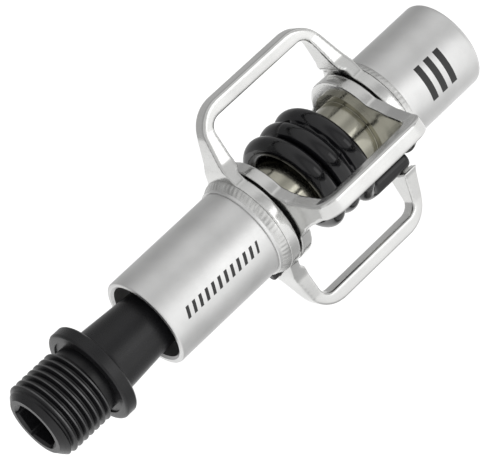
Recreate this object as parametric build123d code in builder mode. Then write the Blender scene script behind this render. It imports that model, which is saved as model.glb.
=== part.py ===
from build123d import *
from math import acos, asin, cos, degrees, hypot, pi, radians, sin, sqrt
import os

# Clipless pedal with four wire-like loops round a torsion spring.
# The X axis is the spindle, +X away from the crank, +Z up. The origin is the centre
# of the shoulder that seats on the crank arm. All sizes are millimetres.

# ---- driving sizes: spindle ----
thread_radius = 14.29 / 2
thread_pitch = 1.27
thread_depth = 0.70
thread_crest = 0.25
thread_length = 12.0
thread_chamfer = 1.5
thread_relief_length = 1.4
thread_relief_radius = 6.35
hex_across_flats = 8.0
hex_depth = 8.5
hex_mouth_radius = 4.65
hex_mouth_depth = 0.7
flange_radius = 8.95
flange_width = 2.5
flange_bevel = 0.4
shoulder_recess_radius = 7.4
shoulder_recess_depth = 0.3
neck_root_radius = 6.2
neck_fillet = 1.1
neck_end_radius = 5.35
seal_land_radius = 5.2
bush_journal_radius = 4.8
shaft_radius = 4.0
stub_radius = 3.0
stub_chamfer = 0.5

# ---- driving sizes: pedal body ----
tube_radius = 8.58
tube_bore_radius = 7.35
tube_mouth_x = 13.5
tube_mouth_chamfer = 0.4
tube_edge_chamfer = 0.2
collar_radius = 8.95
collar_width = 2.1
sleeve_radius = 6.3
sleeve_bore_radius = 5.0
spigot_radius = 5.6
spigot_length = 4.0
outboard_tube_length = 18.6
outboard_edge_radius = 1.0
seal_pocket_depth = 6.7
seal_width = 3.2
seal_lip_gap = 0.05
bush_running_gap = 0.03
glide_bush_length = 11.5
shoulder_width = 1.0
shoulder_bore_radius = 5.45

# ---- driving sizes: wing frames ----
wing_centre_x = 54.3
wing_reach = 21.4
wing_bar_depth = 2.65
wing_bar_width = 3.0
wing_edge_radius = 0.35
outer_round_from = 14.5
inner_round_from = 14.0
plate_ring_radius = 9.75
arm_root_half_width = 4.6
arm_root_reach = 8.5
arm_flare_half_width = 2.7
arm_flare_reach = 12.4
arm_straight_reach = 17.6
leg_root_reach = 10.9
outer_leg_step = 0.8
outer_plate_inner = 13.4
outer_plate_width = 2.3
outer_corner_radius = 6.0
outer_window_radius = 2.2
outer_bar_half_length = 13.2
outer_window_half_length = 11.6
inner_plate_width = 2.4
frame_side_gap = 0.4
inner_corner_radius = 3.2
inner_window_radius = 2.0
inner_bar_half_length = 12.0
inner_window_half_length = 9.8
inner_bar_depth = 3.0
inner_reach_step = 0.2
pair_angle = 87.0
wing_travel = 25.0

# ---- driving sizes: wing bushes, washers ----
wing_bush_radius = 7.35
wing_bush_flange_radius = 7.75
wing_bush_flange_width = 0.8
wing_bush_gap = 0.04
washer_radius = 7.7
washer_side_gap = 0.05

# ---- driving sizes: pin through the outer frame's inboard plate ----
pin_radius = 1.0
pin_reach = 10.0
pin_angle = 6.0
pin_stand_out = 1.3
pin_chamfer = 0.25

# ---- driving sizes: torsion spring ----
wire_radius = 1.75
coil_radius = 8.4
coil_pitch = 3.75
whole_coils = 3
tang_radius = 9.75
tang_bend = 2.8
tang_tip_radius = 0.6
spring_centre_x = 53.2
inboard_flat_angle = 13.0
inboard_tang_end_x = 38.7
outboard_tang_end_x = 69.1
tang_seat_gap = 0.03
notch_gap = 0.1
notch_outer_gap = 0.45

# ---- driving sizes: bearing, nut, cap ----
bearing_width = 5.0
bearing_radius = 6.5
outer_race_inner = 5.35
inner_race_outer = 4.15
ball_radius = 1.0
ball_count = 8
ball_gap = 0.03
cage_half_width = 1.45
cage_thickness = 0.5
shield_width = 0.35
shield_gap = 0.1
nut_across_flats = 10.0
nut_height = 3.9
nut_insert_height = 1.2
nut_insert_wall = 1.3
nut_washer_width = 0.7
nut_washer_radius = 4.9
stub_overrun = 0.6
cap_bore_radius = 7.4
cap_cavity_radius = 6.35
cap_end_clearance = 0.6
cap_recess = 0.3
cap_skirt_gap = 0.6
cap_hex_across_flats = 6.0
cap_hex_depth = 1.2
oring_section = 0.42
oring_groove_width = 0.9

# ---- weld beads ----
bead_length = 1.5
bead_rise = 0.85
bead_bulge = 0.22

# ---- places that follow from the sizes above ----
inner_plate_outer = outer_plate_inner - frame_side_gap
outer_plate_outer = outer_plate_inner + outer_plate_width
inner_plate_inner = inner_plate_outer - inner_plate_width
inboard_tube_end_x = wing_centre_x - outer_plate_outer
outboard_tube_start_x = wing_centre_x + outer_plate_outer
outboard_tube_end_x = outboard_tube_start_x + outboard_tube_length
seal_pocket_end_x = tube_mouth_x + seal_pocket_depth
sleeve_start_x = seal_pocket_end_x + glide_bush_length + 0.5
sleeve_joint_x = wing_centre_x + inner_plate_inner - wing_bush_flange_width
journal_end_x = outboard_tube_start_x + 3.6
bearing_x = journal_end_x + shoulder_width
bearing_end_x = bearing_x + bearing_width
nut_x = bearing_end_x + nut_washer_width
insert_x = nut_x + nut_height
stub_end_x = insert_x + nut_insert_height + stub_overrun
cap_face_x = outboard_tube_end_x - cap_recess
cap_wall_x = stub_end_x + cap_end_clearance
tang_angle = degrees(asin((wire_radius + tang_seat_gap) / tang_radius))
tang_lean = degrees(asin(wire_radius / tang_radius))
notch_angle = tang_angle + tang_lean + wing_travel + 3.0
notch_floor = tang_radius - wire_radius - notch_gap
notch_top = tang_radius + wire_radius + notch_outer_gap
outer_notch_length = outer_plate_width + outer_leg_step + 0.3
inner_reach = wing_reach - inner_reach_step

os.makedirs("parts", exist_ok=True)


def save(piece, name):
    piece.part.label = name
    export_step(piece.part, f"parts/{name}.step")


def bottom_point(x, radius, angle):
    """A point at an angle from straight down, positive towards +Y."""
    return (x, radius * sin(radians(angle)), -radius * cos(radians(angle)))


# ---- spindle: one forging, threaded for the crank arm, with flange, neck and shaft ----
crest_start_x = -thread_length + thread_chamfer
crest_end_x = -thread_relief_length
groove_count = int((crest_end_x - crest_start_x - thread_crest) / thread_pitch)
groove_width = thread_pitch - thread_crest
thread_outline = [(-thread_length, thread_radius - thread_chamfer), (crest_start_x, thread_radius)]
for groove in range(groove_count):
    groove_x = crest_start_x + thread_crest + groove * thread_pitch
    thread_outline += [
        (groove_x, thread_radius),
        (groove_x + groove_width / 2, thread_radius - thread_depth),
        (groove_x + groove_width, thread_radius),
    ]
thread_outline += [
    (crest_end_x, thread_radius),
    (crest_end_x + 0.3, thread_relief_radius),
    (shoulder_recess_depth, thread_relief_radius),
    (shoulder_recess_depth, shoulder_recess_radius),
    (0, shoulder_recess_radius),
]

with BuildPart() as spindle:
    with BuildSketch(Plane.XZ) as spindle_section:
        with BuildLine():
            Polyline(
                (-thread_length, 0),
                *thread_outline,
                (0, flange_radius - flange_bevel),
                (flange_bevel, flange_radius),
                (flange_width - flange_bevel, flange_radius),
                (flange_width, flange_radius - flange_bevel),
                (flange_width, neck_root_radius),
                (tube_mouth_x + 1.5, neck_end_radius),
                (tube_mouth_x + 1.5, seal_land_radius),
                (seal_pocket_end_x + 0.2, seal_land_radius),
                (seal_pocket_end_x + 0.6, bush_journal_radius),
                (sleeve_start_x, bush_journal_radius),
                (sleeve_start_x + 0.8, shaft_radius),
                (bearing_x - 0.6, shaft_radius),
                (bearing_x, stub_radius + 0.5),
                (bearing_x, stub_radius),
                (stub_end_x - stub_chamfer, stub_radius),
                (stub_end_x, stub_radius - stub_chamfer),
                (stub_end_x, 0),
                close=True,
            )
        make_face()
        neck_corner = spindle_section.vertices().sort_by_distance((flange_width, neck_root_radius, 0))[0]
        fillet(neck_corner, neck_fillet)
    revolve(axis=Axis.X)
    with BuildSketch(Plane.YZ.offset(-thread_length)):
        RegularPolygon(hex_across_flats / 2, 6, major_radius=False, rotation=90)
    extrude(amount=hex_depth, mode=Mode.SUBTRACT)
    with BuildSketch(Plane.XZ):
        with BuildLine():
            Polyline(
                (-thread_length, 0),
                (-thread_length, hex_mouth_radius),
                (-thread_length + hex_mouth_depth, hex_across_flats / 2),
                (-thread_length + hex_mouth_depth, 0),
                close=True,
            )
        make_face()
    revolve(axis=Axis.X, mode=Mode.SUBTRACT)
save(spindle, "spindle")

# ---- inboard tube: the bead-blasted body tube that runs on the spindle ----
with BuildPart() as inboard_tube:
    with BuildSketch(Plane.XZ):
        with BuildLine():
            Polyline(
                (tube_mouth_x, tube_bore_radius + tube_mouth_chamfer),
                (tube_mouth_x, tube_radius - tube_edge_chamfer),
                (tube_mouth_x + tube_edge_chamfer, tube_radius),
                (inboard_tube_end_x - collar_width, tube_radius),
                (inboard_tube_end_x - collar_width + 0.15, collar_radius),
                (inboard_tube_end_x, collar_radius),
                (inboard_tube_end_x, sleeve_radius),
                (seal_pocket_end_x, sleeve_radius),
                (seal_pocket_end_x, tube_bore_radius),
                (tube_mouth_x + tube_mouth_chamfer, tube_bore_radius),
                close=True,
            )
        make_face()
    revolve(axis=Axis.X)
save(inboard_tube, "inboard_tube")

# ---- outboard tube: carries the cartridge bearing and the end cap ----
with BuildPart() as outboard_tube:
    with BuildSketch(Plane.XZ) as outboard_section:
        with BuildLine():
            Polyline(
                (outboard_tube_start_x, sleeve_radius),
                (outboard_tube_start_x, collar_radius),
                (outboard_tube_start_x + collar_width - 0.15, collar_radius),
                (outboard_tube_start_x + collar_width, tube_radius),
                (outboard_tube_end_x, tube_radius),
                (outboard_tube_end_x, cap_bore_radius),
                (bearing_end_x, cap_bore_radius),
                (bearing_end_x, bearing_radius),
                (bearing_x, bearing_radius),
                (bearing_x, shoulder_bore_radius),
                (journal_end_x, shoulder_bore_radius),
                (journal_end_x, sleeve_radius),
                close=True,
            )
        make_face()
        outer_edge = outboard_section.vertices().sort_by_distance((outboard_tube_end_x, tube_radius, 0))[0]
        fillet(outer_edge, outboard_edge_radius)
    revolve(axis=Axis.X)
save(outboard_tube, "outboard_tube")

# ---- polished sleeve through the wing zone, in two lengths joined by a spigot ----
with BuildPart() as body_sleeve:
    with BuildSketch(Plane.XZ):
        with BuildLine():
            Polyline(
                (sleeve_start_x, sleeve_bore_radius),
                (sleeve_start_x, sleeve_radius),
                (sleeve_joint_x, sleeve_radius),
                (sleeve_joint_x, spigot_radius),
                (sleeve_joint_x - spigot_length, spigot_radius),
                (sleeve_joint_x - spigot_length, sleeve_bore_radius),
                close=True,
            )
        make_face()
    revolve(axis=Axis.X)
save(body_sleeve, "body_sleeve")

with BuildPart() as outboard_journal:
    with BuildSketch(Plane.XZ):
        with BuildLine():
            Polyline(
                (sleeve_joint_x - spigot_length, sleeve_bore_radius),
                (sleeve_joint_x - spigot_length, spigot_radius),
                (sleeve_joint_x, spigot_radius),
                (sleeve_joint_x, sleeve_radius),
                (journal_end_x, sleeve_radius),
                (journal_end_x, sleeve_bore_radius),
                close=True,
            )
        make_face()
    revolve(axis=Axis.X)
save(outboard_journal, "outboard_journal")


# ---- wing frames: two end plates with tapering arms, joined by a bar at each tip ----
def four_way(corners):
    """All the corners of an outline that is the same in its four quadrants, in order."""
    right = corners + [(across, -up) for across, up in reversed(corners)]
    return right + [(-across, -up) for across, up in right]


def about_wing_centre(corners):
    return [(wing_centre_x + x, z) for x, z in four_way(corners)]


def corners_at(sketch, reach):
    """The corners of a side outline at a distance from the spindle's axis."""
    return [corner for corner in sketch.vertices() if abs(abs(corner.Y) - reach) < 0.01]


def edges_beyond(frame, radius):
    """The edges whose middles lie further than a radius from the spindle's axis."""
    return [edge for edge in frame.edges() if hypot(edge.center().Y, edge.center().Z) > radius]


def arm_corners(reach):
    """The arms seen along the spindle: each flares from the bar's width into the ring."""
    return [
        (wing_bar_width / 2, reach),
        (wing_bar_width / 2, arm_straight_reach),
        (arm_flare_half_width, arm_flare_reach),
        (arm_root_half_width, arm_root_reach),
    ]


def notch_wedge(side):
    """The sector that a spring tang sits and travels in, from its flat onwards."""
    flat_angle = inboard_flat_angle if side > 0 else 0
    near = bottom_point(0, 2 * notch_top, side * flat_angle)
    far = bottom_point(0, 2 * notch_top, side * (flat_angle + notch_angle))
    return [(0, 0), near[1:], far[1:]]


pin_place = bottom_point(0, pin_reach, pin_angle)[1:]
with BuildPart() as outer_wing_frame:
    with BuildSketch(Plane.XZ) as outer_profile:
        Polygon(
            *about_wing_centre(
                [(outer_bar_half_length, wing_reach), (outer_plate_outer, leg_root_reach)]
            ),
            align=None,
        )
        Polygon(
            *about_wing_centre(
                [
                    (outer_window_half_length, wing_reach - wing_bar_depth),
                    (outer_plate_inner - outer_leg_step, leg_root_reach),
                    (outer_plate_inner, leg_root_reach - outer_leg_step),
                ]
            ),
            align=None,
            mode=Mode.SUBTRACT,
        )
        fillet(corners_at(outer_profile, wing_reach), outer_corner_radius)
        fillet(corners_at(outer_profile, wing_reach - wing_bar_depth), outer_window_radius)
    extrude(amount=plate_ring_radius, both=True)
    with BuildSketch(Plane.YZ.offset(wing_centre_x - outer_plate_outer)):
        Polygon(*four_way(arm_corners(wing_reach)), align=None)
        Circle(plate_ring_radius)
        Circle(sleeve_radius, mode=Mode.SUBTRACT)
    extrude(amount=2 * outer_plate_outer, mode=Mode.INTERSECT)
    fillet(edges_beyond(outer_wing_frame, outer_round_from), wing_edge_radius)
    for side, notch_x in ((1, -outer_plate_outer), (-1, outer_plate_outer - outer_notch_length)):
        with BuildSketch(Plane.YZ.offset(wing_centre_x + notch_x)):
            Circle(notch_top)
            Circle(notch_floor, mode=Mode.SUBTRACT)
            Polygon(*notch_wedge(side), align=None, mode=Mode.INTERSECT)
        extrude(amount=outer_notch_length, mode=Mode.SUBTRACT)
    with BuildSketch(Plane.YZ.offset(wing_centre_x - outer_plate_outer)):
        with Locations(pin_place):
            Circle(pin_radius)
    extrude(amount=outer_plate_width, mode=Mode.SUBTRACT)
save(outer_wing_frame, "outer_wing_frame")

with BuildPart() as inner_wing_blank:
    with BuildSketch(Plane.XZ) as inner_profile:
        Polygon(
            *about_wing_centre(
                [(inner_bar_half_length, inner_reach), (inner_plate_outer, leg_root_reach)]
            ),
            align=None,
        )
        Polygon(
            *about_wing_centre(
                [
                    (inner_window_half_length, inner_reach - inner_bar_depth),
                    (inner_plate_inner, leg_root_reach),
                ]
            ),
            align=None,
            mode=Mode.SUBTRACT,
        )
        fillet(corners_at(inner_profile, inner_reach), inner_corner_radius)
        fillet(corners_at(inner_profile, inner_reach - inner_bar_depth), inner_window_radius)
    extrude(amount=plate_ring_radius, both=True)
    with BuildSketch(Plane.YZ.offset(wing_centre_x - inner_plate_outer)):
        Polygon(*four_way(arm_corners(inner_reach)), align=None)
        Circle(plate_ring_radius)
        Circle(wing_bush_radius, mode=Mode.SUBTRACT)
    extrude(amount=2 * inner_plate_outer, mode=Mode.INTERSECT)
    fillet(edges_beyond(inner_wing_blank, inner_round_from), wing_edge_radius)

with BuildPart() as inner_wing_frame:
    add(inner_wing_blank.part, rotation=(pair_angle, 0, 0))
    for side, notch_x in ((1, -inner_plate_outer), (-1, inner_plate_inner)):
        with BuildSketch(Plane.YZ.offset(wing_centre_x + notch_x)):
            Circle(notch_top)
            Circle(notch_floor, mode=Mode.SUBTRACT)
            Polygon(*notch_wedge(side), align=None, mode=Mode.INTERSECT)
        extrude(amount=inner_plate_width, mode=Mode.SUBTRACT)
save(inner_wing_frame, "inner_wing_frame")

# ---- black pin driven through the outer frame's inboard plate ----
with BuildPart() as wing_pin:
    with BuildSketch(Plane.YZ.offset(wing_centre_x - outer_plate_outer - pin_stand_out)):
        with Locations(pin_place):
            Circle(pin_radius)
    extrude(amount=pin_stand_out + outer_plate_width)
    pin_rim = wing_pin.edges().filter_by(GeomType.CIRCLE).sort_by(Axis.X)[0]
    chamfer(pin_rim, pin_chamfer)
save(wing_pin, "wing_pin")

# ---- weld beads: a fillet weld between each tube's collar and the outer frame's plate ----
for name, side in (("inboard_weld_bead", -1), ("outboard_weld_bead", 1)):
    plate_x = wing_centre_x + side * outer_plate_outer
    toe_x = plate_x + side * bead_length
    bulge_x = plate_x + side * (bead_length / 2 + bead_bulge)
    bulge_z = collar_radius + bead_rise / 2 + bead_bulge
    with BuildPart() as weld_bead:
        with BuildSketch(Plane.XZ):
            with BuildLine():
                Line((toe_x, collar_radius), (plate_x, collar_radius))
                Line((plate_x, collar_radius), (plate_x, collar_radius + bead_rise))
                ThreePointArc(
                    (plate_x, collar_radius + bead_rise),
                    (bulge_x, bulge_z),
                    (toe_x, collar_radius),
                )
            make_face()
        revolve(axis=Axis.X)
        if side < 0:
            with BuildSketch(Plane.YZ.offset(toe_x)):
                with Locations(pin_place):
                    Circle(pin_radius)
            extrude(amount=bead_length, mode=Mode.SUBTRACT)
    save(weld_bead, name)

# ---- plastic wing bushes, pressed into the inner frame and turning on the sleeve ----
for name, side in (("inboard_wing_bush", -1), ("outboard_wing_bush", 1)):
    flange_x = wing_centre_x + side * (inner_plate_inner - wing_bush_flange_width)
    plate_x = wing_centre_x + side * inner_plate_inner
    far_x = wing_centre_x + side * inner_plate_outer
    with BuildPart() as wing_bush:
        with BuildSketch(Plane.XZ):
            with BuildLine():
                Polyline(
                    (flange_x, sleeve_radius + wing_bush_gap),
                    (flange_x, wing_bush_flange_radius),
                    (plate_x, wing_bush_flange_radius),
                    (plate_x, wing_bush_radius),
                    (far_x, wing_bush_radius),
                    (far_x, sleeve_radius + wing_bush_gap),
                    close=True,
                )
            make_face()
        revolve(axis=Axis.X)
    save(wing_bush, name)

# ---- thrust washers in the gaps between the two frames ----
for name, side in (("inboard_thrust_washer", -1), ("outboard_thrust_washer", 1)):
    near_x = wing_centre_x + side * (inner_plate_outer + washer_side_gap)
    far_x = wing_centre_x + side * outer_plate_inner
    with BuildPart() as thrust_washer:
        with BuildSketch(Plane.XZ):
            with BuildLine():
                Polyline(
                    (near_x, sleeve_radius),
                    (far_x, sleeve_radius),
                    (far_x, washer_radius),
                    (near_x, washer_radius),
                    close=True,
                )
            make_face()
        revolve(axis=Axis.X)
    save(thrust_washer, name)

# ---- torsion spring: a right-hand coil whose two tangs lie along the spindle ----
# Angles run from straight down, positive towards +Y, and grow along the coil with x.
# Each end leaves the coil along a tangent, then bends through a right angle into its tang.
run_length = sqrt(tang_radius**2 - coil_radius**2)
run_angle = degrees(acos(coil_radius / tang_radius))
inboard_tang_angle = inboard_flat_angle + tang_angle
coil_start_angle = inboard_tang_angle + run_angle
coil_end_angle = 360 * whole_coils - tang_angle - run_angle
coil_middle_angle = (coil_start_angle + coil_end_angle) / 2
half_coil_length = coil_pitch * (coil_end_angle - coil_start_angle) / 720
run_advance = run_length * coil_pitch / (2 * pi * coil_radius)
spring_ends = (
    ("inboard_spring_half", -1, coil_start_angle, coil_start_angle, inboard_tang_angle, inboard_tang_end_x),
    ("outboard_spring_half", 1, coil_middle_angle, coil_end_angle, -tang_angle, outboard_tang_end_x),
)
for name, side, start_angle, end_angle, end_tang_angle, tang_end_x in spring_ends:
    coil_end_x = spring_centre_x + side * half_coil_length
    corner_x = coil_end_x + side * run_advance
    coil_plane = Plane(
        origin=(min(spring_centre_x, coil_end_x), 0, 0),
        x_dir=bottom_point(0, 1, start_angle),
        z_dir=(1, 0, 0),
    )
    coil = coil_plane.location * Helix(coil_pitch, half_coil_length, coil_radius)
    with BuildPart() as spring_half:
        with BuildSketch(Plane(origin=coil @ 0, z_dir=coil % 0)):
            Circle(wire_radius)
        sweep(path=coil, is_frenet=True)
        with BuildLine() as tang_line:
            FilletPolyline(
                bottom_point(coil_end_x, coil_radius, end_angle),
                bottom_point(corner_x, tang_radius, end_tang_angle),
                bottom_point(tang_end_x, tang_radius, end_tang_angle),
                radius=tang_bend,
            )
        with BuildSketch(Plane(origin=tang_line.line @ 0, z_dir=tang_line.line % 0)):
            Circle(wire_radius)
        sweep(path=tang_line.line)
        tang_rim = spring_half.edges().filter_by(GeomType.CIRCLE).sort_by(Axis.X)[0 if side < 0 else -1]
        fillet(tang_rim, tang_tip_radius)
    save(spring_half, name)

# ---- inboard running gear: rubber seal and plastic glide bush ----
with BuildPart() as spindle_seal:
    with BuildSketch(Plane.XZ):
        with BuildLine():
            Polyline(
                (seal_pocket_end_x - seal_width, seal_land_radius + seal_lip_gap + 0.6),
                (seal_pocket_end_x - seal_width + 0.5, seal_land_radius + seal_lip_gap),
                (seal_pocket_end_x - seal_width + 1.0, seal_land_radius + seal_lip_gap + 0.5),
                (seal_pocket_end_x - 0.8, seal_land_radius + seal_lip_gap + 0.5),
                (seal_pocket_end_x - 0.3, seal_land_radius + seal_lip_gap),
                (seal_pocket_end_x, seal_land_radius + seal_lip_gap + 0.3),
                (seal_pocket_end_x, tube_bore_radius),
                (seal_pocket_end_x - seal_width, tube_bore_radius),
                close=True,
            )
        make_face()
    revolve(axis=Axis.X)
save(spindle_seal, "spindle_seal")

with BuildPart() as glide_bush:
    with BuildSketch(Plane.XZ):
        with BuildLine():
            Polyline(
                (seal_pocket_end_x + 0.6, bush_journal_radius + bush_running_gap),
                (seal_pocket_end_x + glide_bush_length, bush_journal_radius + bush_running_gap),
                (seal_pocket_end_x + glide_bush_length, sleeve_radius),
                (seal_pocket_end_x + 0.6, sleeve_radius),
                close=True,
            )
        make_face()
    revolve(axis=Axis.X)
save(glide_bush, "glide_bush")

# ---- outboard cartridge bearing: two races, balls in a cage, two shields ----
ball_circle_radius = (outer_race_inner + inner_race_outer) / 2
bearing_middle_x = bearing_x + bearing_width / 2

for name, inner, outer in (
    ("bearing_inner_race", stub_radius, inner_race_outer),
    ("bearing_outer_race", outer_race_inner, bearing_radius),
):
    with BuildPart() as race:
        with BuildSketch(Plane.XZ):
            with BuildLine():
                Polyline(
                    (bearing_x, inner),
                    (bearing_end_x, inner),
                    (bearing_end_x, outer),
                    (bearing_x, outer),
                    close=True,
                )
            make_face()
            with Locations((bearing_middle_x, ball_circle_radius)):
                Circle(ball_radius + ball_gap, mode=Mode.SUBTRACT)
        revolve(axis=Axis.X)
    save(race, name)

with BuildPart() as bearing_balls:
    with Locations(Plane.YZ.offset(bearing_middle_x)):
        with PolarLocations(ball_circle_radius, ball_count):
            Sphere(ball_radius)
save(bearing_balls, "bearing_balls")

with BuildPart() as bearing_cage:
    with BuildSketch(Plane.YZ.offset(bearing_middle_x - cage_half_width)):
        Circle(ball_circle_radius + cage_thickness / 2)
        Circle(ball_circle_radius - cage_thickness / 2, mode=Mode.SUBTRACT)
    extrude(amount=2 * cage_half_width)
    with Locations(Plane.YZ.offset(bearing_middle_x)):
        with PolarLocations(ball_circle_radius, ball_count):
            Cylinder(
                ball_radius + ball_gap,
                4 * cage_thickness,
                rotation=(0, 90, 0),
                mode=Mode.SUBTRACT,
            )
save(bearing_cage, "bearing_cage")

with BuildPart() as bearing_shields:
    for shield_x in (bearing_x, bearing_end_x - shield_width):
        with BuildSketch(Plane.YZ.offset(shield_x)):
            Circle(outer_race_inner)
            Circle(inner_race_outer + shield_gap, mode=Mode.SUBTRACT)
        extrude(amount=shield_width)
save(bearing_shields, "bearing_shields")

# ---- washer and nylon-insert lock nut on the spindle's end ----
with BuildPart() as nut_washer:
    with BuildSketch(Plane.YZ.offset(bearing_end_x)):
        Circle(nut_washer_radius)
        Circle(stub_radius, mode=Mode.SUBTRACT)
    extrude(amount=nut_washer_width)
save(nut_washer, "nut_washer")

with BuildPart() as lock_nut:
    with BuildSketch(Plane.YZ.offset(nut_x)):
        RegularPolygon(nut_across_flats / 2, 6, major_radius=False)
        Circle(stub_radius, mode=Mode.SUBTRACT)
    extrude(amount=nut_height)
    with BuildSketch(Plane.YZ.offset(insert_x)):
        Circle(nut_across_flats / 2 - 0.3)
        Circle(stub_radius + nut_insert_wall, mode=Mode.SUBTRACT)
    extrude(amount=nut_insert_height)
save(lock_nut, "lock_nut")

with BuildPart() as nut_insert:
    with BuildSketch(Plane.YZ.offset(insert_x)):
        Circle(stub_radius + nut_insert_wall)
        Circle(stub_radius, mode=Mode.SUBTRACT)
    extrude(amount=nut_insert_height)
save(nut_insert, "nut_insert")

# ---- end cap with its O-ring ----
oring_middle_x = (cap_wall_x + cap_face_x) / 2
oring_centre_radius = cap_bore_radius - oring_section
with BuildPart() as end_cap:
    with BuildSketch(Plane.XZ):
        with BuildLine():
            Polyline(
                (cap_face_x, 0),
                (cap_face_x, cap_bore_radius),
                (oring_middle_x + oring_groove_width / 2, cap_bore_radius),
                (oring_middle_x + oring_groove_width / 2, oring_centre_radius - oring_section),
                (oring_middle_x - oring_groove_width / 2, oring_centre_radius - oring_section),
                (oring_middle_x - oring_groove_width / 2, cap_bore_radius),
                (bearing_end_x + cap_skirt_gap, cap_bore_radius),
                (bearing_end_x + cap_skirt_gap, cap_cavity_radius),
                (cap_wall_x, cap_cavity_radius),
                (cap_wall_x, 0),
                close=True,
            )
        make_face()
    revolve(axis=Axis.X)
    with BuildSketch(Plane.YZ.offset(cap_face_x - cap_hex_depth)):
        RegularPolygon(cap_hex_across_flats / 2, 6, major_radius=False)
    extrude(amount=cap_hex_depth, mode=Mode.SUBTRACT)
save(end_cap, "end_cap")

with BuildPart() as cap_oring:
    with BuildSketch(Plane.XZ):
        with Locations((oring_middle_x, oring_centre_radius)):
            Circle(oring_section)
    revolve(axis=Axis.X)
save(cap_oring, "cap_oring")
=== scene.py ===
from math import atan2, cos, pi, radians, sin, sqrt

import bmesh
import bpy
from mathutils import Matrix, Vector


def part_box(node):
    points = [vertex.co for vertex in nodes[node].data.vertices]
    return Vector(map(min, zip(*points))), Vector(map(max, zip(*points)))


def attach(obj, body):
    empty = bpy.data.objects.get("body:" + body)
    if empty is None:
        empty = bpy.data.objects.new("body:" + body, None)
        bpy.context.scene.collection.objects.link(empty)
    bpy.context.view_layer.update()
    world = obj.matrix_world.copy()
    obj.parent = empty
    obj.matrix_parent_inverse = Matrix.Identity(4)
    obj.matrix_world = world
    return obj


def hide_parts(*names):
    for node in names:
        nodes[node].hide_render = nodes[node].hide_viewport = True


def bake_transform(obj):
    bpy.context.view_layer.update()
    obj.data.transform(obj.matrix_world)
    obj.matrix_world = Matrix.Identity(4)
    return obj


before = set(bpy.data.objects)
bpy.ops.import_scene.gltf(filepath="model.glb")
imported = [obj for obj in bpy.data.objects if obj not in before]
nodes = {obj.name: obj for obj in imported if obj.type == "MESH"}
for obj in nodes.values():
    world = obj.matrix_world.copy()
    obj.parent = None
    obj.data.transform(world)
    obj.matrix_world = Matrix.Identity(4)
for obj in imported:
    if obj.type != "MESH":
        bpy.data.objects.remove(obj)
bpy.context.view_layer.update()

# ---- studio: a pale floor well below, a banded room, and one soft box low in front ----
# Bare metal mirrors the room's soft grey bands. The floor has painted shade, a soft grey patch
# under the pedal for the metal to mirror, and is made to glow a little so that it stays pale.
camera_place = Vector((-0.1435, -0.4064, 0.1793))
camera_right = Vector((0.67488, -0.52766, -0.51588))
camera_up = Vector((0.63456, 0.05810, 0.77070))
camera_back = Vector((-0.37670, -0.84749, 0.37404))

camera_data = bpy.data.cameras.new("camera")
camera_data.lens = 213.97
camera_data.sensor_width = 36
camera_data.clip_start = 0.02
camera = bpy.data.objects.new("camera", camera_data)
bpy.context.scene.collection.objects.link(camera)
camera_turn = Matrix((camera_right, camera_up, camera_back)).transposed().to_4x4()
camera.matrix_world = Matrix.Translation(camera_place) @ camera_turn
bpy.context.scene.camera = camera


def ramp_of(tree, stops):
    """A colour ramp of greys, from (position, brightness) pairs."""
    ramp = tree.nodes.new("ShaderNodeValToRGB")
    ramp.color_ramp.interpolation = "EASE"
    while len(ramp.color_ramp.elements) < len(stops):
        ramp.color_ramp.elements.new(0.5)
    for element, (position, brightness) in zip(ramp.color_ramp.elements, stops):
        element.position = position
        element.color = (brightness, brightness, brightness, 1)
    return ramp


floor_drop = 0.25
floor_width = 6.0
# Painted shade on the floor: dark grey round the middle under the pedal, fading to pale further out.
painted_shade_middle_x = 0.08
painted_shade_tones = [(0.22, 0.36), (0.37, 0.92)]
floor_paint = bpy.data.materials.new("pale floor")
floor_paint.use_nodes = True
floor_tree = floor_paint.node_tree
floor_shader = floor_tree.nodes["Principled BSDF"]
floor_shader.inputs["Roughness"].default_value = 0.7
floor_place = floor_tree.nodes.new("ShaderNodeTexCoord")
floor_spread = floor_tree.nodes.new("ShaderNodeMapping")
floor_spread.inputs["Location"].default_value = (-painted_shade_middle_x, 0, 0)
floor_tree.links.new(floor_place.outputs["Object"], floor_spread.inputs["Vector"])
floor_reach = floor_tree.nodes.new("ShaderNodeVectorMath")
floor_reach.operation = "LENGTH"
floor_tree.links.new(floor_spread.outputs["Vector"], floor_reach.inputs[0])
floor_tone = ramp_of(floor_tree, painted_shade_tones)
floor_tree.links.new(floor_reach.outputs["Value"], floor_tone.inputs["Fac"])
floor_tree.links.new(floor_tone.outputs["Color"], floor_shader.inputs["Base Color"])
floor_tree.links.new(floor_tone.outputs["Color"], floor_shader.inputs["Emission Color"])
floor_shader.inputs["Emission Strength"].default_value = 0.55
floor_shape = bmesh.new()
bmesh.ops.create_grid(
    floor_shape,
    x_segments=1,
    y_segments=1,
    size=floor_width / 2,
    matrix=Matrix.Translation((0, 0, -floor_drop)),
)
floor_mesh = bpy.data.meshes.new("floor")
floor_shape.to_mesh(floor_mesh)
floor_shape.free()
floor_mesh.materials.append(floor_paint)
floor = bpy.data.objects.new("floor", floor_mesh)
bpy.context.scene.collection.objects.link(floor)

pedal_middle = Vector((0.038, 0.0, 0.0))
soft_box_place = Vector((0.35, -0.9, 0.05))
soft_box_light = bpy.data.lights.new("front", "AREA")
soft_box_light.shape = "SQUARE"
soft_box_light.size = 0.5
soft_box_light.energy = 0.8
soft_box = bpy.data.objects.new("front", soft_box_light)
bpy.context.scene.collection.objects.link(soft_box)
soft_box_turn = (soft_box_place - pedal_middle).to_track_quat("Z", "Y").to_matrix().to_4x4()
soft_box.matrix_world = Matrix.Translation(soft_box_place) @ soft_box_turn

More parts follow.
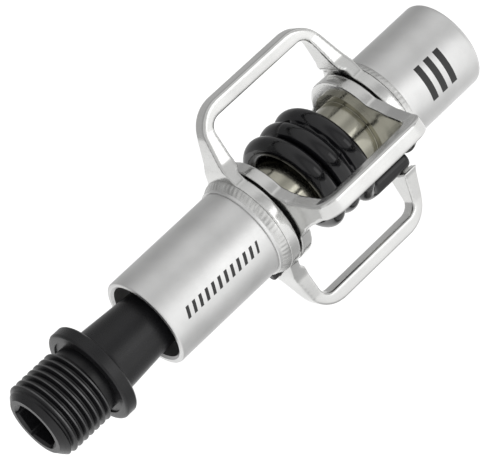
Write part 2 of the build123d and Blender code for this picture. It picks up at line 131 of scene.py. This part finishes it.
# The room's tones run from straight behind, at 0, to straight in front, at 1. It is grey
# behind, pale overhead, with one more grey band towards the front, and shows as white itself.
room_tones = [
    (0.0, 0.70), (0.05, 0.58), (0.15, 0.42), (0.32, 0.50), (0.5, 0.80),
    (0.68, 0.90), (0.82, 0.56), (0.93, 0.84), (1.0, 0.88),
]
room = bpy.data.worlds.new("studio")
room.use_nodes = True
room_tree = room.node_tree
room_place = room_tree.nodes.new("ShaderNodeTexCoord")
towards_front = room_tree.nodes.new("ShaderNodeVectorMath")
towards_front.operation = "DOT_PRODUCT"
towards_front.inputs[1].default_value = (0, -0.5, 0)
room_tree.links.new(room_place.outputs["Generated"], towards_front.inputs[0])
centred = room_tree.nodes.new("ShaderNodeMath")
centred.inputs[1].default_value = 0.5
room_tree.links.new(towards_front.outputs["Value"], centred.inputs[0])
room_tone = ramp_of(room_tree, room_tones)
room_tree.links.new(centred.outputs["Value"], room_tone.inputs["Fac"])
seen = room_tree.nodes.new("ShaderNodeLightPath")
room_mix = room_tree.nodes.new("ShaderNodeMixRGB")
room_mix.inputs["Color2"].default_value = (1, 1, 1, 1)
room_tree.links.new(seen.outputs["Is Camera Ray"], room_mix.inputs["Fac"])
room_tree.links.new(room_tone.outputs["Color"], room_mix.inputs["Color1"])
room_tree.links.new(room_mix.outputs["Color"], room_tree.nodes["Background"].inputs["Color"])
bpy.context.scene.world = room
bpy.context.scene.view_settings.view_transform = "Standard"

# ---- spindle: one steel forging, blacked all over ----
# The crank thread is rolled on its short end as one right-hand helix, with a lead-in
# chamfer, and the end is broached for an 8 mm hex key. The flange seats on the crank arm.
merge_distance = 0.000002
turn_steps = 144


def finish_of(
    name, colour, roughness, metallic, grain, grain_depth, shade_change=0.06, roughness_change=0.06
):
    """A worked surface: its colour and roughness drift over some millimetres, with a fine grain."""
    drift_scale = 180
    noise_low = 0.3
    noise_high = 0.7
    finish = bpy.data.materials.new(name)
    finish.use_nodes = True
    tree = finish.node_tree
    shader = tree.nodes["Principled BSDF"]
    shader.inputs["Metallic"].default_value = metallic
    place = tree.nodes.new("ShaderNodeTexCoord")
    drift = tree.nodes.new("ShaderNodeTexNoise")
    drift.inputs["Scale"].default_value = drift_scale
    drift.inputs["Detail"].default_value = 3
    tree.links.new(place.outputs["Object"], drift.inputs["Vector"])
    shade = tree.nodes.new("ShaderNodeValToRGB")
    darker = [c * (1 - shade_change) for c in colour]
    lighter = [min(1, c * (1 + shade_change)) for c in colour]
    shade.color_ramp.elements[0].position = noise_low
    shade.color_ramp.elements[0].color = (*darker, 1)
    shade.color_ramp.elements[1].position = noise_high
    shade.color_ramp.elements[1].color = (*lighter, 1)
    tree.links.new(drift.outputs["Fac"], shade.inputs["Fac"])
    tree.links.new(shade.outputs["Color"], shader.inputs["Base Color"])
    fine = tree.nodes.new("ShaderNodeTexNoise")
    fine.inputs["Scale"].default_value = 1 / grain
    fine.inputs["Detail"].default_value = 2
    tree.links.new(place.outputs["Object"], fine.inputs["Vector"])
    wear = tree.nodes.new("ShaderNodeMapRange")
    wear.inputs["From Min"].default_value = noise_low
    wear.inputs["From Max"].default_value = noise_high
    wear.inputs["To Min"].default_value = roughness - roughness_change
    wear.inputs["To Max"].default_value = roughness + roughness_change
    tree.links.new(fine.outputs["Fac"], wear.inputs["Value"])
    tree.links.new(wear.outputs["Result"], shader.inputs["Roughness"])
    bump = tree.nodes.new("ShaderNodeBump")
    bump.inputs["Distance"].default_value = grain_depth
    tree.links.new(fine.outputs["Fac"], bump.inputs["Height"])
    tree.links.new(bump.outputs["Normal"], shader.inputs["Normal"])
    return finish


def new_piece(name, shape, finish, smooth_angle=32):
    """Turns a finished bmesh into a named piece, smooth except at its sharp edges."""
    mesh = bpy.data.meshes.new(name)
    bmesh.ops.remove_doubles(shape, verts=shape.verts, dist=merge_distance)
    bmesh.ops.recalc_face_normals(shape, faces=shape.faces)
    for face in shape.faces:
        face.smooth = True
    for edge in shape.edges:
        edge.smooth = not (len(edge.link_faces) == 2 and edge.calc_face_angle(0) > radians(smooth_angle))
    shape.to_mesh(mesh)
    shape.free()
    piece = bpy.data.objects.new(name, mesh)
    bpy.context.scene.collection.objects.link(piece)
    mesh.materials.append(finish)
    return piece


def spun(outline, steps, closed):
    """Spins an outline, (x, radius) in millimetres, once round the spindle's axis."""
    shape = bmesh.new()
    corners = [shape.verts.new((x / 1000, 0, radius / 1000)) for x, radius in outline]
    pairs = list(zip(corners, corners[1:]))
    if closed:
        pairs.append((corners[-1], corners[0]))
    edges = [shape.edges.new(pair) for pair in pairs]
    bmesh.ops.spin(
        shape,
        geom=corners + edges,
        cent=(0, 0, 0),
        axis=(1, 0, 0),
        angle=2 * pi,
        steps=steps,
        use_merge=True,
    )
    bmesh.ops.remove_doubles(shape, verts=shape.verts, dist=merge_distance)
    return shape


def fit(piece, body, slot_name, *replaced):
    """Seats a finished piece: hides the CAD nodes it stands for and puts it on its body; its finish slot
    is not used.
    """
    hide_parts(*replaced)
    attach(piece, body)


thread_start = -12.0
thread_end = -1.75
thread_root = 6.45
thread_crest = 7.145
thread_pitch = 1.27
lead_in = 1.5
blank_lead_in = 0.8
blank_below_cone = 0.12
relief_start = -1.6
relief_radius = 6.35
recess_depth = 0.3
recess_radius = 7.4
flange_radius = 8.95
flange_width = 2.5
hex_flats = 8.0
hex_floor = -3.5
hex_mouth_radius = 4.65
hex_mouth_depth = 0.45
black_satin = finish_of(
    "black satin",
    (0.007, 0.007, 0.008),
    roughness=0.32,
    metallic=0.0,
    grain=0.00012,
    grain_depth=0.000004,
    shade_change=0.25,
    roughness_change=0.08,
)
black_satin.node_tree.nodes["Principled BSDF"].inputs["Specular IOR Level"].default_value = 0.34
worn_crest = finish_of(
    "worn thread crest",
    (0.09, 0.09, 0.092),
    roughness=0.28,
    metallic=0.6,
    grain=0.00012,
    grain_depth=0.000003,
    shade_change=0.3,
    roughness_change=0.08,
)

# The flange's rounded rim: how far in from its face, and how far below its radius.
flange_rim = [(0.0, 0.55), (0.06, 0.3), (0.2, 0.12), (0.4, 0.0)]
crank_side_rim = [(inset, flange_radius - drop) for inset, drop in flange_rim]
body_side_rim = [(flange_width - inset, flange_radius - drop) for inset, drop in reversed(flange_rim)]
neck = [(2.5, 7.35), (2.6, 6.75), (2.85, 6.4), (3.3, 6.2), (3.8, 6.12), (15.0, 5.35)]
seal_land = [(15.0, 5.2), (20.4, 5.2)]
bush_land = [(20.8, 4.8), (32.2, 4.8)]
shaft = [(33.0, 4.0), (74.0, 4.0)]
spindle_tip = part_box("spindle")[1].x * 1000
stub_chamfer = 0.5
stub = [(74.6, 3.5), (74.6, 3.0), (spindle_tip - stub_chamfer, 3.0)]
blank = spun(
    [
        (thread_start, hex_mouth_radius), (thread_start, thread_crest - lead_in - blank_below_cone),
        (thread_start + blank_lead_in, thread_root), (thread_end, thread_root),
        (relief_start, relief_radius), (recess_depth, relief_radius), (recess_depth, recess_radius),
        (0, recess_radius), *crank_side_rim, *body_side_rim, *neck, *seal_land, *bush_land, *shaft,
        *stub, (spindle_tip, 3.0 - stub_chamfer), (spindle_tip, 0.0),
    ],
    turn_steps,
    closed=False,
)

# The socket: the mouth ring is bridged to a hexagon, which runs in to the socket's floor.
mouth = [edge for edge in blank.edges if edge.is_boundary]
hexagon_x = (thread_start + hex_mouth_depth) / 1000
side_on = Matrix(((0, 0, 1, hexagon_x), (1, 0, 0, 0), (0, 1, 0, 0), (0, 0, 0, 1)))
hexagon_radius = hex_flats / 2 / cos(pi / 6) / 1000
hexagon = bmesh.ops.create_circle(
    blank, cap_ends=False, segments=6, radius=hexagon_radius, matrix=side_on
)
hexagon_edges = list({edge for corner in hexagon["verts"] for edge in corner.link_edges})
bmesh.ops.subdivide_edges(blank, edges=hexagon_edges, cuts=turn_steps // 6 - 1)
hexagon_edges = [edge for edge in blank.edges if edge.is_wire]
bmesh.ops.bridge_loops(blank, edges=mouth + hexagon_edges)
walls = bmesh.ops.extrude_edge_only(blank, edges=hexagon_edges)
inner_ring = [part for part in walls["geom"] if isinstance(part, bmesh.types.BMVert)]
for corner in inner_ring:
    corner.co.x = hex_floor / 1000
bmesh.ops.holes_fill(blank, edges=[edge for edge in blank.edges if edge.is_boundary])

# The thread: one ridge wound along the blank, trimmed to the lead-in cone.
ridge_half_base = 0.55
ridge_half_crest = 0.13
ridge_foot = thread_root - 0.05
ridge_turns = 7.7
ridge_turn_steps = 96
ridge_start = thread_start + 0.6
worn_depth = 0.02
ridge_outline = (
    (-ridge_half_base, ridge_foot), (-ridge_half_crest, thread_crest),
    (ridge_half_crest, thread_crest), (ridge_half_base, ridge_foot),
)
ridge = bmesh.new()
ridge_corners = [
    ridge.verts.new(((ridge_start + along) / 1000, 0, radius / 1000)) for along, radius in ridge_outline
]
ridge_edges = [ridge.edges.new(pair) for pair in zip(ridge_corners, ridge_corners[1:] + ridge_corners[:1])]
bmesh.ops.spin(
    ridge,
    geom=ridge_corners + ridge_edges,
    cent=(0, 0, 0),
    axis=(1, 0, 0),
    dvec=(thread_pitch / ridge_turn_steps / 1000, 0, 0),
    angle=2 * pi * ridge_turns,
    steps=int(ridge_turns * ridge_turn_steps),
)
bmesh.ops.holes_fill(ridge, edges=[edge for edge in ridge.edges if edge.is_boundary])
for corner in ridge.verts:
    radius = sqrt(corner.co.y**2 + corner.co.z**2)
    highest = (thread_crest - lead_in) / 1000 + max(0, corner.co.x - thread_start / 1000)
    if radius > highest:
        corner.co.y *= highest / radius
        corner.co.z *= highest / radius
bmesh.ops.recalc_face_normals(ridge, faces=ridge.faces)
for face in ridge.faces:
    middle = face.calc_center_median()
    face.material_index = 1 if sqrt(middle.y**2 + middle.z**2) > (thread_crest - worn_depth) / 1000 else 0
ridge_mesh = bpy.data.meshes.new("thread ridge")
ridge.to_mesh(ridge_mesh)
ridge.free()
blank.from_mesh(ridge_mesh)
spindle = new_piece("crank_spindle", blank, black_satin, smooth_angle=25)
spindle.data.materials.append(worn_crest)
fit(spindle, "spindle", "spindle_steel", "spindle")

# ---- body tubes: two stainless tubes, bead-blasted to a fine matt ----
# Each is turned from bar with a low collar where the outer frame is welded on. Plain printed
# bars mark them: a row of short bars along the long tube, and three on the short one.
tube_radius = 8.58
collar_radius = 8.95
groove_radius = 8.5
blasted_colour = (0.66, 0.66, 0.655)


def print_bars(finish, start_x, end_x, facing, half_height, pitch, lean, filled):
    """Prints a row of short black bars round one side of a tube, lengths in millimetres."""
    ink_colour = (0.012, 0.012, 0.012, 1)
    printed_side = 0.0042
    tree = finish.node_tree
    shader = tree.nodes["Principled BSDF"]
    place = tree.nodes.new("ShaderNodeTexCoord")
    split = tree.nodes.new("ShaderNodeSeparateXYZ")
    tree.links.new(place.outputs["Object"], split.inputs["Vector"])

    def worked(operation, *values):
        node = tree.nodes.new("ShaderNodeMath")
        node.operation = operation
        for socket, value in zip(node.inputs, values):
            if isinstance(value, (int, float)):
                socket.default_value = value
            else:
                tree.links.new(value, socket)
        return node.outputs["Value"]

    along = worked("MULTIPLY", split.outputs["X"], 1000)
    across_y = worked("MULTIPLY", split.outputs["Y"], -sin(facing))
    across_z = worked("MULTIPLY", split.outputs["Z"], cos(facing))
    across = worked("MULTIPLY", worked("ADD", across_y, across_z), 1000)
    outwards_y = worked("MULTIPLY", split.outputs["Y"], cos(facing))
    outwards_z = worked("MULTIPLY", split.outputs["Z"], sin(facing))
    outwards = worked("ADD", outwards_y, outwards_z)
    slanted = worked("ADD", along, worked("MULTIPLY", across, lean))
    within = worked("FRACT", worked("DIVIDE", worked("SUBTRACT", slanted, start_x), pitch))
    ink = worked("LESS_THAN", within, filled)
    ink = worked("MULTIPLY", ink, worked("GREATER_THAN", slanted, start_x))
    ink = worked("MULTIPLY", ink, worked("LESS_THAN", slanted, end_x))
    ink = worked("MULTIPLY", ink, worked("LESS_THAN", worked("ABSOLUTE", across), half_height))
    ink = worked("MULTIPLY", ink, worked("GREATER_THAN", outwards, printed_side))
    for socket_name, printed in (("Base Color", ink_colour), ("Metallic", (0, 0, 0, 1))):
        socket = shader.inputs[socket_name]
        mix = tree.nodes.new("ShaderNodeMixRGB")
        mix.inputs["Color2"].default_value = printed
        if socket.is_linked:
            tree.links.new(socket.links[0].from_socket, mix.inputs["Color1"])
        else:
            mix.inputs["Color1"].default_value = (1, 1, 1, 1)
        tree.links.new(ink, mix.inputs["Fac"])
        tree.links.new(mix.outputs["Color"], socket)


blasted_long = finish_of(
    "bead-blasted long tube",
    blasted_colour,
    roughness=0.40,
    metallic=1.0,
    grain=0.00016,
    grain_depth=0.000006,
)
print_bars(
    blasted_long,
    start_x=17.2,
    end_x=34.2,
    facing=radians(180),
    half_height=1.0,
    pitch=1.5,
    lean=0.35,
    filled=0.45,
)
long_mouth = 13.5
long_mouth_inner = (13.5, 7.75)
seal_bore = 7.35
seal_bore_start = 13.9
seal_bore_end = 20.2
sleeve_radius = 6.3
long_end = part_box("inboard_tube")[1].x * 1000
# The mouth's rounded edge and the collar's groove: how far along, and the radius there.
mouth_edge = [(0.0, 8.3), (0.05, 8.42), (0.16, 8.53), (0.3, tube_radius)]
long_groove = [(-2.15, tube_radius), (-2.1, groove_radius), (-2.02, groove_radius), (-2.0, 8.82)]
long_tube = new_piece(
    "long_tube",
    spun(
        [
            long_mouth_inner, *((long_mouth + along, radius) for along, radius in mouth_edge),
            *((long_end + along, radius) for along, radius in long_groove),
            (long_end - 1.9, collar_radius), (long_end, collar_radius), (long_end, sleeve_radius),
            (seal_bore_end, sleeve_radius), (seal_bore_end, seal_bore), (seal_bore_start, seal_bore),
        ],
        turn_steps,
        closed=True,
    ),
    blasted_long,
)
fit(long_tube, "pedal_body", "blasted_steel", "inboard_tube")

short_start, short_end = (corner.x * 1000 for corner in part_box("outboard_tube"))
blasted_short = finish_of(
    "bead-blasted short tube",
    blasted_colour,
    roughness=0.40,
    metallic=1.0,
    grain=0.00016,
    grain_depth=0.000006,
)
print_bars(
    blasted_short,
    start_x=short_end - 12.2,
    end_x=short_end - 5.6,
    facing=radians(178),
    half_height=3.4,
    pitch=2.4,
    lean=0.0,
    filled=0.55,
)
end_round = 1.0
cap_bore = 7.4
bearing_bore = 6.5
bearing_start = 74.6
bearing_end = 79.6
shoulder_bore = 5.45
shoulder_start = 73.6
short_groove = [(2.02, 8.85), (2.05, groove_radius), (2.12, groove_radius), (2.15, tube_radius)]
short_edge = [
    (short_end - end_round + sin(radians(turn)), tube_radius - end_round + cos(radians(turn)))
    for turn in range(0, 91, 15)
]
short_tube = new_piece(
    "short_tube",
    spun(
        [
            (short_start, sleeve_radius), (short_start, collar_radius),
            (short_start + 1.95, collar_radius),
            *((short_start + along, radius) for along, radius in short_groove), *short_edge,
            (short_end, cap_bore), (bearing_end, cap_bore), (bearing_end, bearing_bore),
            (bearing_start, bearing_bore), (bearing_start, shoulder_bore),
            (shoulder_start, shoulder_bore), (shoulder_start, sleeve_radius),
        ],
        turn_steps,
        closed=True,
    ),
    blasted_short,
)
fit(short_tube, "pedal_body", "blasted_steel", "outboard_tube")

# ---- sleeve: the polished journal between the tubes that the wings and spring run on ----
# It is ground stainless in two lengths, plugged together by a spigot, with a hairline joint.
polished = finish_of(
    "polished sleeve",
    (0.38, 0.37, 0.31),
    roughness=0.17,
    metallic=1.0,
    grain=0.0003,
    grain_depth=0.000002,
)
sleeve_bore = 5.0
spigot_radius = 5.6
spigot_length = 4
joint_bevel = 0.12
joint_radius = 6.2
sleeve_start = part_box("body_sleeve")[0].x * 1000
sleeve_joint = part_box("body_sleeve")[1].x * 1000
spigot_start = sleeve_joint - spigot_length
journal_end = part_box("outboard_journal")[1].x * 1000
long_sleeve = new_piece(
    "long_sleeve",
    spun(
        [
            (sleeve_start, sleeve_bore), (sleeve_start, sleeve_radius),
            (sleeve_joint - joint_bevel, sleeve_radius), (sleeve_joint, joint_radius),
            (sleeve_joint, spigot_radius), (spigot_start, spigot_radius), (spigot_start, sleeve_bore),
        ],
        turn_steps,
        closed=True,
    ),
    polished,
)
fit(long_sleeve, "pedal_body", "polished_sleeve", "body_sleeve")
short_sleeve = new_piece(
    "short_sleeve",
    spun(
        [
            (spigot_start, sleeve_bore), (spigot_start, spigot_radius), (sleeve_joint, spigot_radius),
            (sleeve_joint, joint_radius), (sleeve_joint + joint_bevel, sleeve_radius),
            (journal_end, sleeve_radius), (journal_end, sleeve_bore),
        ],
        turn_steps,
        closed=True,
    ),
    polished,
)
fit(short_sleeve, "pedal_body", "polished_sleeve", "outboard_journal")

# ---- wing frames: the two crossed stainless frames that grip the cleat ----
# They are investment cast, tumbled until every edge is soft, and polished to a bright satin.
# The outer frame is welded to the tubes and the inner one turns on the sleeve.
satin_steel = finish_of(
    "satin steel",
    (0.63, 0.63, 0.62),
    roughness=0.20,
    metallic=1.0,
    grain=0.0002,
    grain_depth=0.000003,
)
never_sharp = 180


def cast_copy(name, node, finish, grid, passes):
    """A merged copy of a CAD piece with its facets and edges softened, as tumbling leaves them."""
    shape = bmesh.new()
    shape.from_mesh(nodes[node].data)
    bmesh.ops.remove_doubles(shape, verts=shape.verts, dist=merge_distance)
    rough_piece = new_piece(name + "_rough", shape, finish, never_sharp)
    recast = rough_piece.modifiers.new("recast", "REMESH")
    recast.mode = "VOXEL"
    recast.voxel_size = grid
    recast.use_smooth_shade = True
    tumbled = rough_piece.modifiers.new("tumbled", "SMOOTH")
    tumbled.factor = 0.5
    tumbled.iterations = passes
    depsgraph = bpy.context.evaluated_depsgraph_get()
    finished = bpy.data.meshes.new_from_object(rough_piece.evaluated_get(depsgraph))
    bpy.data.objects.remove(rough_piece)
    finished.name = name
    piece = bpy.data.objects.new(name, finished)
    bpy.context.scene.collection.objects.link(piece)
    finished.materials.clear()
    finished.materials.append(finish)
    return piece


outer_wings = cast_copy("outer_wings", "outer_wing_frame", satin_steel, grid=0.00022, passes=9)
fit(outer_wings, "pedal_body", "wing_steel", "outer_wing_frame")
inner_wings = cast_copy("inner_wings", "inner_wing_frame", satin_steel, grid=0.00022, passes=9)
fit(inner_wings, "inner_wings", "wing_steel", "inner_wing_frame")

# ---- frame pin: a black steel pin through the outer frame's inboard plate ----
# Its bevelled end stands out beside the long tube, at the foot of the lower arm. What the
# real black end there belongs to is not certain: it may be an end of the spring's own wire.
pin_black = finish_of(
    "blacked pin",
    (0.012, 0.012, 0.013),
    roughness=0.32,
    metallic=0.0,
    grain=0.0002,
    grain_depth=0.000003,
    shade_change=0.2,
)
frame_pin = cast_copy("frame_pin", "wing_pin", pin_black, grid=0.0001, passes=4)
fit(frame_pin, "pedal_body", "pin_steel", "wing_pin")

# ---- weld beads: a run of weld between each tube's collar and the outer frame ----
# The run is left as welded, so it shows the fine overlapping ripples of the weld pool
# and a dull grey heat mark.
weld_steel = finish_of(
    "as-welded steel",
    (0.58, 0.58, 0.57),
    roughness=0.30,
    metallic=1.0,
    grain=0.0003,
    grain_depth=0.00002,
    shade_change=0.30,
    roughness_change=0.12,
)
weld_steps = 384
weld_foot = 8.9
# The crown: the share of the way from the tube to the plate, and the radius there.
weld_crown = [(0.12, 9.05), (0.3, 9.22), (0.5, 9.4), (0.7, 9.52), (0.86, 9.6), (1.0, 9.64)]
ripple_count = 64
ripple_height = 0.000045
ripple_slant = 3
inboard_toe, inboard_plate = (corner.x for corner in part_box("inboard_weld_bead"))
outboard_plate, outboard_toe = (corner.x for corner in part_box("outboard_weld_bead"))
for name, node, toe, plate in (
    ("inboard_weld", "inboard_weld_bead", inboard_toe, inboard_plate),
    ("outboard_weld", "outboard_weld_bead", outboard_toe, outboard_plate),
):
    run = (plate - toe) * 1000
    crown = [(toe * 1000 + run * share, radius) for share, radius in weld_crown]
    shape = spun(
        [(toe * 1000, weld_foot), *crown, (plate * 1000, weld_foot)],
        weld_steps,
        closed=True,
    )
    for corner in shape.verts:
        radius = sqrt(corner.co.y**2 + corner.co.z**2)
        share = (corner.co.x - toe) / (plate - toe)
        ripple = sin(atan2(corner.co.z, corner.co.y) * ripple_count + ripple_slant * share)
        lift = ripple_height * ripple * sin(pi * share)
        corner.co.y *= 1 + lift / radius
        corner.co.z *= 1 + lift / radius
    fit(new_piece(name, shape, weld_steel, smooth_angle=60), "pedal_body", "weld_steel", node)

# ---- torsion spring: one black-coated wire, shown as two halves that meet at mid-coil ----
# The wire is cold coiled, then dipped, so its coating is smooth and semi-gloss.
# Each half is a softened copy of its CAD half, baked where it stands.
spring_black = finish_of(
    "spring coating",
    (0.004, 0.004, 0.005),
    roughness=0.15,
    metallic=0.0,
    grain=0.0003,
    grain_depth=0.000001,
    shade_change=0.2,
    roughness_change=0.03,
)
spring_black.node_tree.nodes["Principled BSDF"].inputs["Specular IOR Level"].default_value = 0.42
twisted_length = 0.0052
for name, node, arm, reach in (
    ("inboard_spring", "inboard_spring_half", "inboard_spring_arm", -twisted_length),
    ("outboard_spring", "outboard_spring_half", "outboard_spring_arm", twisted_length),
):
    half = cast_copy(name, node, spring_black, grid=0.00024, passes=4)
    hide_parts(node)
    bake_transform(half)

# ---- washers and seals: black rings that keep the frames apart and the grit out ----
# A moulded plastic washer fills each gap between the frames. A lipped rubber seal closes the
# long tube's mouth, and a rubber ring seals the cap. All have the same matt black look.
black_plastic = finish_of(
    "black plastic",
    (0.012, 0.012, 0.012),
    roughness=0.45,
    metallic=0.0,
    grain=0.0002,
    grain_depth=0.000004,
    shade_change=0.2,
)


def smooth_copy(name, node, finish):
    """A merged copy of a CAD piece, smooth except at its sharp edges."""
    shape = bmesh.new()
    shape.from_mesh(nodes[node].data)
    return new_piece(name, shape, finish)


for name, node, slot_name in (
    ("inboard_washer", "inboard_thrust_washer", "bush_plastic"),
    ("outboard_washer", "outboard_thrust_washer", "bush_plastic"),
    ("mouth_seal", "spindle_seal", "seal_rubber"),
    ("cap_seal_ring", "cap_oring", "seal_rubber"),
):
    fit(smooth_copy(name, node, black_plastic), "pedal_body", slot_name, node)

# ---- bushes: the plain bearings of the inner frame and of the spindle ----
# A flanged metal bush is pressed into each ring of the inner frame, slides on the sleeve and
# is ground like it. The spindle runs in an olive plastic bush inside the long tube.
for name, node in (("inboard_bush", "inboard_wing_bush"), ("outboard_bush", "outboard_wing_bush")):
    fit(smooth_copy(name, node, polished), "inner_wings", "polished_sleeve", node)
olive_plastic = finish_of(
    "olive plastic",
    (0.14, 0.13, 0.08),
    roughness=0.5,
    metallic=0.0,
    grain=0.0003,
    grain_depth=0.000004,
    shade_change=0.1,
)
fit(smooth_copy("plain_bush", "glide_bush", olive_plastic), "pedal_body", "glide_plastic", "glide_bush")

# ---- outboard bearing: a shielded ball bearing pressed into the short tube ----
# Eight ground steel balls run between hardened races in a stamped brass cage, with a pressed
# steel shield on each side.
ground_steel = finish_of(
    "ground steel",
    (0.60, 0.60, 0.62),
    roughness=0.20,
    metallic=1.0,
    grain=0.0002,
    grain_depth=0.000002,
)
stamped_brass = finish_of(
    "stamped brass",
    (0.55, 0.40, 0.16),
    roughness=0.30,
    metallic=1.0,
    grain=0.0002,
    grain_depth=0.000003,
)
for name, node, body, slot_name, finish in (
    ("inner_race", "bearing_inner_race", "spindle", "bearing_steel", ground_steel),
    ("outer_race", "bearing_outer_race", "pedal_body", "bearing_steel", ground_steel),
    ("balls", "bearing_balls", "ball_cage", "bearing_steel", ground_steel),
    ("ball_cage_ring", "bearing_cage", "ball_cage", "cage_brass", stamped_brass),
    ("shields", "bearing_shields", "pedal_body", "shield_steel", ground_steel),
):
    fit(smooth_copy(name, node, finish), body, slot_name, node)

# ---- lock nut: holds the bearing's inner race on the spindle ----
# A steel washer and nut on the spindle's thin end, with a blue nylon ring in the nut that
# grips the thread so that it can't work loose.
blue_nylon = finish_of(
    "blue nylon",
    (0.03, 0.08, 0.25),
    roughness=0.50,
    metallic=0.0,
    grain=0.0003,
    grain_depth=0.000004,
)
for name, node, slot_name, finish in (
    ("washer_under_nut", "nut_washer", "nut_steel", ground_steel),
    ("spindle_nut", "lock_nut", "nut_steel", ground_steel),
    ("nylon_ring", "nut_insert", "insert_plastic", blue_nylon),
):
    fit(smooth_copy(name, node, finish), "spindle", slot_name, node)

# ---- end cap: closes the short tube over the bearing ----
# It is turned from aluminium and anodised grey, screws in, and takes a 6 mm hex key.
anodised = finish_of(
    "anodised cap",
    (0.42, 0.42, 0.44),
    roughness=0.34,
    metallic=1.0,
    grain=0.0002,
    grain_depth=0.000004,
)
fit(smooth_copy("screw_cap", "end_cap", anodised), "pedal_body", "cap_aluminium", "end_cap")
